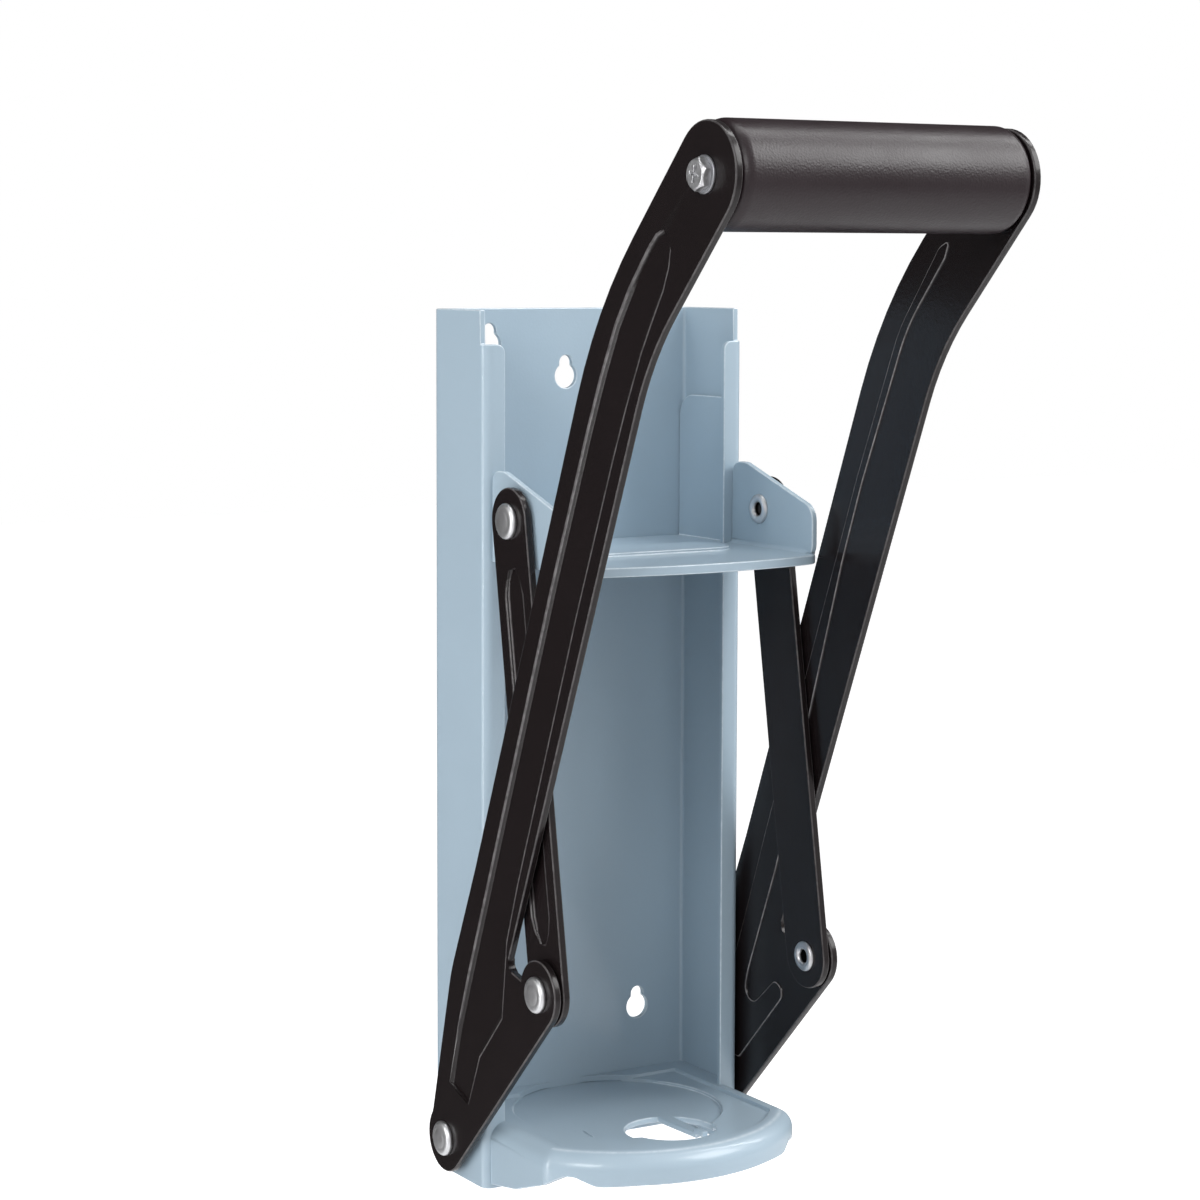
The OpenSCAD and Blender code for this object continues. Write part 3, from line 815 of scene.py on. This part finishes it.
@dataclass
class Frame:
    """The folded back channel and the stamped tray.

    Attributes:
        tray_rim, rim_inside: radius of the tray's rolled rim, outside and inside.
        tight_edge: rounding of the notches beside the lips.
        side, front_centre, front_reach: the rim lies beside X of side, or beyond front_reach from
            the point at Y of front_centre.
        rubbed, rubbed_worn: band of normal Z that gets a painted highlight line, and its weight.
        crease: corners and radii of the pressed crease beside the cap lifter.
        crease_sunk: how deep its foot lies below the seat.
    """

    cut_edge: float = 0.4
    tray_rim: float = 6.0
    rim_inside: float = 2.4
    step_edge: float = 0.5
    tight_edge: float = 0.1
    tray_top: float = 22.0
    seat_floor: float = 19.8
    lips: float = -36.0
    side: float = 44.0
    front_centre: float = -34.5
    front_reach: float = 55.0
    rubbed: Point = (0.93, 0.975)
    rubbed_worn: float = 0.8
    crease: tuple[Corner, ...] = (
        (-20.7, -51.4, 0.4), (-22.0, -60.8, 3.0), (-19.0, -64.9, 0.4), (-19.9, -65.7, 0.4),
        (-24.0, -61.4, 4.0), (-22.6, -51.3, 0.4))
    crease_height: float = 0.45
    crease_sunk: float = 0.3
    crease_slope: float = 0.3
    crease_edge: float = 0.12

    def build(self, shop: Workshop) -> None:
        """Builds both pieces."""
        shop.soften("back_channel", "channel", Slot.BODY, [Round(self.cut_edge, 3, sharp(50))])
        bm = shop.merged("base_plate")
        shop.round_edges(bm, [Round(self.tray_rim, 10, self.at_rim, worn=0.0),
                              Round(self.rim_inside, 6, self.under_rim, worn=0.0),
                              Round(self.step_edge, 3, self.at_step),
                              Round(self.cut_edge, 2, self.at_cut),
                              Round(self.tight_edge, 1, sharp(50), worn=0.0)])
        # Painted highlight: a thin band along the tray's rim takes the lighter edge colour.
        self.burnish(bm)
        low = self.seat_floor - self.crease_sunk
        outline = [Vector((x, y, low)) * MM for x, y in smooth_outline(self.crease)]
        lift = Vector((0, 0, self.crease_height + self.crease_sunk)) * MM
        shop.raised(bm, outline, lift, self.crease_slope * MM, self.crease_edge * MM)
        shop.piece(bm, "tray", "base_plate", Slot.BODY)

    def burnish(self, bm: Shape) -> None:
        """Marks a band on the crown of the tray's rim for a painted highlight line."""
        layer = weights(bm, "edge")
        bm.normal_update()
        low, high = self.rubbed
        for vert in bm.verts:
            spot = vert.co / MM
            if (low < vert.normal.z < high and spot.z > self.tray_top - SHEET
                    and self.outer(spot)):
                vert[layer] = self.rubbed_worn

    def at_rim(self, edge: Edge) -> bool:
        """True for the tray's outer top edge, in front of the lips."""
        mid = middle(edge)
        return fold_angle(edge) > 50 and abs(mid.z - self.tray_top) < NEAR and self.outer(mid)

    def under_rim(self, edge: Edge) -> bool:
        """True for the inner corner below that edge."""
        mid = middle(edge)
        return (fold_angle(edge) > 50 and abs(mid.z - self.tray_top + SHEET) < NEAR
                and self.outer(mid))

    def outer(self, spot: Vector) -> bool:
        """True for a place near the tray's outline, in front of the lips."""
        away = math.hypot(spot.x, spot.y - self.front_centre)
        return spot.y < self.lips and (abs(spot.x) > self.side or away > self.front_reach)

    def at_cut(self, edge: Edge) -> bool:
        """True for sharp edges, but for the tight notches beside the lips."""
        mid = middle(edge)
        return fold_angle(edge) > 50 and (mid.y < self.lips or mid.z < self.tray_top - 6)

    def at_step(self, edge: Edge) -> bool:
        """True for the upper and lower edges of the pressed steps."""
        mid = middle(edge)
        return (fold_angle(edge) > 50 and mid.z > self.tray_top - 2.5
                and abs(edge.verts[0].co.z - edge.verts[1].co.z) < 1e-6
                and abs(mid.z - self.tray_top + SHEET) > NEAR and mid.y < self.lips + 20)


@dataclass
class Ram:
    """The ram plate with its ears, guides and bead. The ears begin in front of Y of ears."""

    cut_edge: float = 0.45
    fold: float = 1.5
    plate_top: float = 209.0
    ears: float = -36.0

    def build(self, shop: Workshop) -> None:
        """Builds the plate."""
        shop.soften("ram_plate", "ram", Slot.BODY, [Round(self.fold, 6, self.at_fold, worn=0.0),
                                                    Round(self.cut_edge, 3, sharp(50))])

    def at_fold(self, edge: Edge) -> bool:
        """True for the long inner corner between the plate and an ear."""
        mid = middle(edge)
        return (fold_angle(edge) > 80 and abs(mid.z - self.plate_top) < NEAR
                and mid.y < self.ears and abs(abs(mid.x) - EAR[0]) < 2 * NEAR
                and abs(edge.verts[0].co.x - edge.verts[1].co.x) < 1e-6)


@dataclass
class Lever:
    """The two pressed arms. Places on an arm are along and across the line from pivot to grip.

    Attributes:
        groove_edge, bed_edge: rounding of the outer groove's rim and foot.
        bed_end: height where the groove gets too narrow to round its foot.
        press, slope, sunk: height of the raised field on the inner face, how far its sides lean,
            and how deep its foot lies below the face.
        field: the field's corners and radii.
    """

    cut_edge: float = 0.55
    groove_edge: float = 0.65
    bed_edge: float = 0.22
    bed_end: float = 296.0
    field_edge: float = 0.3
    press: float = 0.5
    slope: float = 0.35
    sunk: float = 0.3
    field: tuple[Corner, ...] = (
        (23.0, -9.2, 3.0), (61.5, -21.8, 3.5), (61.0, -14.0, 3.0), (37.0, -3.6, 4.0),
        (53.0, -0.2, 40.0), (96.4, 2.2, 120.0), (208.0, 16.7, 120.0), (235.0, 18.9, 80.0),
        (290.4, 20.4, 60.0), (318.0, 13.2, 2.0), (325.0, 13.6, 1.2), (320.0, 17.8, 6.0),
        (288.0, 24.4, 50.0), (235.0, 22.6, 80.0), (105.0, 13.5, 120.0), (66.0, 10.2, 60.0),
        (24.0, 7.4, 5.0), (20.5, -1.0, 5.0))

    def build(self, shop: Workshop) -> None:
        """Builds both arms."""
        for side in Side:
            bm = shop.merged(f"lever_arm_{side.word}")
            shop.round_edges(bm, [Round(self.groove_edge, 4, self.groove_rim, worn=0.55),
                                  Round(self.bed_edge, 2, self.groove_bed, worn=0.15),
                                  Round(self.cut_edge, 3, sharp(60), worn=0.35)])
            outline = [self.on_arm(along, across, side)
                       for along, across in smooth_outline(self.field)]
            lift = Vector((-side.value * (self.sunk + self.press), 0, 0)) * MM
            shop.raised(bm, outline, lift, self.slope * MM, self.field_edge * MM)
            shop.piece(bm, f"arm_{side.word}", f"lever_arm_{side.word}", Slot.ARM)

    def groove_rim(self, edge: Edge) -> bool:
        """True for the groove's rim only."""
        return self.in_groove(edge) and abs(middle(edge).x) > ARM[1] - NEAR

    def groove_bed(self, edge: Edge) -> bool:
        """True for the foot of the groove's sides, up to its narrow end."""
        return self.in_groove(edge) and middle(edge).z < self.bed_end

    @staticmethod
    def in_groove(edge: Edge) -> bool:
        """True for the groove's rim and bed."""
        return 15 < fold_angle(edge) < 60

    def on_arm(self, along: float, across: float, side: Side) -> Vector:
        """A place just inside an arm's inner face, in metres."""
        pivot = Vector(PIVOT)
        way = (Vector(GRIP_PIN) - pivot).normalized()
        spot = pivot + along * way + across * Vector((way.y, -way.x))
        return Vector((side.value * (ARM[0] + self.sunk), spot.x, spot.y)) * MM


@dataclass
class Links:
    """The two links, with the roundings of their sheared edges and grooves."""

    cut_edge: float = 0.5
    groove_edge: float = 0.5

    def build(self, shop: Workshop) -> None:
        """Builds both links."""
        for side in Side:
            shop.soften(f"link_{side.word}", f"link_bar_{side.word}", Slot.ARM,
                        [Round(self.groove_edge, 3, Lever.in_groove, worn=0.35),
                         Round(self.cut_edge, 3, sharp(60), worn=0.35)])


@dataclass
class Rivets:
    """Turned rivets: domed heads outside, hollow ends rolled into a ring inside.

    All are radii but head_height, the half axes of the roll, and the depths of the hollow in a
    long rivet and in an ear rivet's end.
    """

    shank: float = 4.0
    head: float = 5.75
    head_height: float = 2.2
    roll_centre: float = 3.62
    roll: Point = (1.36, 1.2)
    hollow: float = 2.26
    deep: float = 3.6
    shallow: float = 1.8

    def crown(self, seat: float) -> list[Point]:
        """Profile of a head from its seat to its crown."""
        rim, high = self.head, self.head_height
        return [(rim - 0.45, seat), (rim - 0.1, seat + 0.12), (rim, seat + 0.4),
                *arc((rim - 1.35, seat + 0.75), (1.35, high - 1.0), 0, 82, 7),
                (3.6, seat + high - 0.16), (3.35, seat + high - 0.19), (3.05, seat + high - 0.12),
                (1.6, seat + high - 0.03), (0.0, seat + high)]

    def rolled(self, face: float, depth: float) -> list[Point]:
        """Profile of a hollow end, from the bottom of the hollow out to the rolled ring."""
        return [(0.0, face + depth), (1.2, face + depth - 0.3),
                (self.hollow - 0.15, face + depth - 0.8), (self.hollow, face + 0.2),
                *arc((self.roll_centre, face - 0.1), self.roll, 180, 360, 12),
                (self.roll_centre + 1.1, face)]

    def finish(self, shop: Workshop, profile: list[Point], pin: Point, side: Side, name: str,
               node: str, inside: Point = NOWHERE, dome: Point = NOWHERE) -> None:
        """Turns a rivet; marks by spreads its hollow's painted shade and its head rim's painted
        highlight.
        """
        bm = shop.turned(profile, pin, side)
        # Painted shade: the hollow takes the plate's dark inside colour.
        shop.mark(bm, "hollow", pin, (0.0, self.hollow + 0.05), inside)
        # Painted highlight: a bright ring at the edge of the head.
        shop.mark(bm, "edge", pin, (self.head - 1.2, self.head), dome)
        shop.piece(bm, f"{name}_{side.word}", f"{node}_{side.word}", Slot.BRIGHT)

    @staticmethod
    def inside(face: float, depth: float) -> Point:
        """The spread of a hollow that opens at a face."""
        return (face + 0.1, face + depth + 0.1)

    @staticmethod
    def dome(seat: float) -> Point:
        """The spread of the upper part of a head, where a painted highlight ring lies."""
        return (seat + 0.9, seat + 3.0)

    def build(self, shop: Workshop) -> None:
        """Builds every rivet and rolled end."""
        for side in Side:
            for pin, node, face in ((PIVOT, "base_rivet", WALL[0]),
                                    (LINK_PIN, "link_rivet", LINK[0])):
                seat = ARM[1]
                profile = [*self.rolled(face, self.deep), (self.shank, face), (self.shank, seat),
                           *self.crown(seat)]
                self.finish(shop, profile, pin, side, f"{node}_turned", node,
                            self.inside(face, self.deep), self.dome(seat))
            foot, seat = WASHER_FOOT, LINK[1]
            profile = [(0.0, foot), (self.shank, foot), (self.shank, seat), *self.crown(seat)]
            self.finish(shop, profile, EAR_PIN, side, "ear_rivet_turned", "ear_rivet",
                        dome=self.dome(seat))
            face, back = EAR
            profile = [*self.rolled(face, self.shallow), (self.shank, face), (self.shank, back),
                       (0.0, back)]
            self.finish(shop, profile, EAR_PIN, side, "ear_rivet_roll", "ear_rivet_end",
                        self.inside(face, self.shallow))


@dataclass
class Washers:
    """Washers, spacers and the grip's screws.

    Each plate has its pin, outer radius, bore, and inner and outer face.
    """

    broken_edge: float = 0.15
    screw_edge: float = 0.16
    plates: tuple[tuple[str, Point, float, float, float, float], ...] = (
        ("base_spacer", PIVOT, 7.5, 4.02, WALL[1], ARM[0]),
        ("link_washer", LINK_PIN, 7.5, 4.02, LINK[1], ARM[0]),
        ("ear_washer", EAR_PIN, 7.5, 4.02, WASHER_FOOT, LINK[0]),
        ("grip_washer", GRIP_PIN, 5.5, 3.02, ARM[1], 55.0))

    def build(self, shop: Workshop) -> None:
        """Builds every washer, spacer and screw."""
        for side in Side:
            for name, pin, outer, bore, inside, outside in self.plates:
                profile = self.section(outer, bore, inside, outside)
                shop.piece(shop.turned(profile, pin, side), f"{name}_turned_{side.word}",
                           f"{name}_{side.word}", Slot.DULL)
            shop.soften(f"grip_screw_{side.word}", f"hex_screw_{side.word}", Slot.BRIGHT,
                        [Round(self.screw_edge, 2, sharp(25))])

    def section(self, outer: float, bore: float, inside: float, outside: float) -> list[Point]:
        """Cross-section of a washer with broken edges, closed."""
        cut = self.broken_edge
        return [(bore, inside + cut), (bore + cut, inside), (outer - cut, inside),
                (outer, inside + cut), (outer, outside - cut), (outer - cut, outside),
                (bore + cut, outside), (bore, outside - cut), (bore, inside + cut)]


@dataclass
class Grip:
    """The moulded sleeve, given by half its length, and the tube in it."""

    radius: float = 16.0
    bore: float = 8.02
    half: float = 51.68
    end_radius: float = 4.0
    bore_edge: float = 0.9
    rings: tuple[float, ...] = (38.0, 24.0, 10.0)

    def build(self, shop: Workshop) -> None:
        """Builds the sleeve and dresses the tube."""
        shop.keep("grip_tube", Slot.DULL)
        end = self.end_radius
        corner = arc((self.half - end, self.radius - end), (end, end), 0, 90, 10)
        half = [(self.bore, self.half - self.bore_edge), (self.bore + self.bore_edge, self.half),
                *[(r, x) for x, r in corner], *[(self.radius, x) for x in self.rings]]
        profile = [*half, *[(r, -x) for r, x in reversed(half)], half[0]]
        shop.piece(shop.turned(profile, GRIP_PIN, Side.RIGHT, 96), "sleeve", "grip_sleeve",
                   Slot.GRIP)


# ---- Studio ----


@dataclass(frozen=True)
class Camera:
    """The photograph's camera, in metres and degrees, with its lens in millimetres."""

    place: tuple[float, float, float] = (-0.515358, -0.864630, 0.303896)
    yaw: float = 31.1194
    pitch: float = -4.7383
    roll: float = -0.1302
    lens: float = 88.9672
    shift: tuple[float, float] = (0.01726, -0.07804)

    def build(self) -> None:
        """Makes the scene's camera."""
        data = bpy.data.cameras.new("camera")
        data.sensor_width, data.lens = 36.0, self.lens
        data.shift_x, data.shift_y = self.shift
        data.clip_start, data.clip_end = 0.01, 50.0
        made = bpy.data.objects.new("camera", data)
        turn = (Matrix.Rotation(-math.radians(self.yaw), 4, "Z")
                @ Matrix.Rotation(math.radians(90 + self.pitch), 4, "X")
                @ Matrix.Rotation(math.radians(-self.roll), 4, "Z"))
        made.matrix_world = Matrix.Translation(self.place) @ turn
        bpy.context.scene.collection.objects.link(made)
        bpy.context.scene.camera = made


@dataclass(frozen=True)
class SoftBox:
    """One soft studio light, aimed at the crusher."""

    name: str
    place: tuple[float, float, float]
    size: tuple[float, float]
    power: float

    def build(self, aim: Vector) -> None:
        """Makes the light."""
        data = bpy.data.lights.new(self.name, "AREA")
        data.shape, data.size, data.size_y = "RECTANGLE", *self.size
        data.energy = self.power
        made = bpy.data.objects.new(self.name, data)
        made.location = self.place
        made.rotation_mode = "QUATERNION"
        made.rotation_quaternion = (aim - Vector(self.place)).to_track_quat("-Z", "Y")
        bpy.context.scene.collection.objects.link(made)


@dataclass(frozen=True)
class Studio:
    """A pale floor below the lever's travel, a pale surround and soft boxes.

    Attributes:
        floor, pale, glow: the floor's height, its colour, and how much it glows to the camera.
        dim: the colour of its far part in reflections.
        front: strength of the surround in front of the crusher.
        back, back_fill: its strength behind it, in reflections and as other light.
        boxes, aim: the soft boxes, and where they point.
    """

    floor: float = -0.34
    pale: Colour = (0.93, 0.93, 0.94)
    dim: Colour = (0.08, 0.08, 0.08)
    glow: float = 0.62
    front: float = 0.66
    back: float = 0.07
    back_fill: float = 0.24
    aim: tuple[float, float, float] = (0.0, -0.06, 0.16)
    boxes: tuple[SoftBox, ...] = (
        SoftBox("left strip", (-1.35, 0.22, 0.30), (0.2, 1.3), 7.5),
        SoftBox("key", (-1.15, -0.98, 0.85), (0.5, 0.5), 6.0),
        SoftBox("right", (0.95, -1.0, 1.15), (0.9, 0.9), 15.0),
        SoftBox("top bar", (0.5, -0.12, 1.2), (0.14, 2.4), 9.0),
    )

    def build(self) -> None:
        """Builds the floor, the surround and the lights."""
        self.lay_floor()
        self.light_surround()
        for box in self.boxes:
            box.build(Vector(self.aim))
        bpy.context.scene.view_settings.view_transform = "Standard"

    def lay_floor(self) -> None:
        """Lays a wide pale floor that meets the surround without a visible edge."""
        bm = bmesh.new()
        bmesh.ops.create_grid(bm, x_segments=1, y_segments=1, size=6.0,
                              matrix=Matrix.Translation((0, 0, self.floor)))
        mesh = bpy.data.meshes.new("floor")
        bm.to_mesh(mesh)
        bm.free()
        floor = bpy.data.objects.new("floor", mesh)
        bpy.context.scene.collection.objects.link(floor)
        pale = bpy.data.materials.new("pale_floor")
        pale.use_nodes = True
        tree = pale.node_tree
        shader = next(n for n in tree.nodes if n.type == "BSDF_PRINCIPLED")
        shader.inputs["Roughness"].default_value = 0.9
        shader.inputs["Emission Color"].default_value = (1.0, 1.0, 1.0, 1.0)
        path = add_node(tree, "ShaderNodeLightPath")
        spot = add_node(tree, "ShaderNodeSeparateXYZ",
                        {"Vector": add_node(tree, "ShaderNodeTexCoord").outputs["Object"]})
        far = add_node(tree, "ShaderNodeMapRange", {"Value": spot.outputs["Y"],
                                                    "From Min": 0.35, "From Max": 0.8})
        mirrored = sums(tree, "MULTIPLY", path.outputs["Is Glossy Ray"], far.outputs["Result"])
        tree.links.new(mix_colour(tree, mirrored, (*self.pale, 1.0), (*self.dim, 1.0)),
                       shader.inputs["Base Color"])
        tree.links.new(sums(tree, "MULTIPLY", path.outputs["Is Camera Ray"], self.glow),
                       shader.inputs["Emission Strength"])
        floor.data.materials.append(pale)

    def light_surround(self) -> None:
        """Makes a surround that is white to the camera and darker behind the crusher."""
        world = bpy.data.worlds.new("surround")
        bpy.context.scene.world = world
        world.use_nodes = True
        tree = world.node_tree
        back = next(n for n in tree.nodes if n.type == "BACKGROUND")
        way = add_node(tree, "ShaderNodeTexCoord")
        parts = add_node(tree, "ShaderNodeSeparateXYZ", {"Vector": way.outputs["Generated"]})
        path = add_node(tree, "ShaderNodeLightPath")
        far = sums(tree, "MULTIPLY_ADD", path.outputs["Is Glossy Ray"], self.back - self.back_fill,
                   self.back_fill)
        level = add_node(tree, "ShaderNodeMapRange", {
            "Value": parts.outputs["Y"], "From Min": -0.25, "From Max": 0.35,
            "To Min": self.front, "To Max": far})
        strength = sums(tree, "MAXIMUM", path.outputs["Is Camera Ray"], level.outputs["Result"])
        back.inputs["Color"].default_value = (1.0, 1.0, 1.0, 1.0)
        tree.links.new(strength, back.inputs["Strength"])


def main() -> None:
    """Builds the studio and every sub-assembly."""
    logging.basicConfig(level=logging.INFO, format="%(message)s")
    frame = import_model()
    Camera().build()
    Studio().build()
    shop = Workshop(frame, Finishes(Effects()))
    for assembly in (Frame(), Ram(), Lever(), Links(), Rivets(), Washers(), Grip()):
        assembly.build(shop)
        LOG.info("%s built", type(assembly).__name__)
    bpy.context.view_layer.update()


if __name__ == "__main__":
    main()
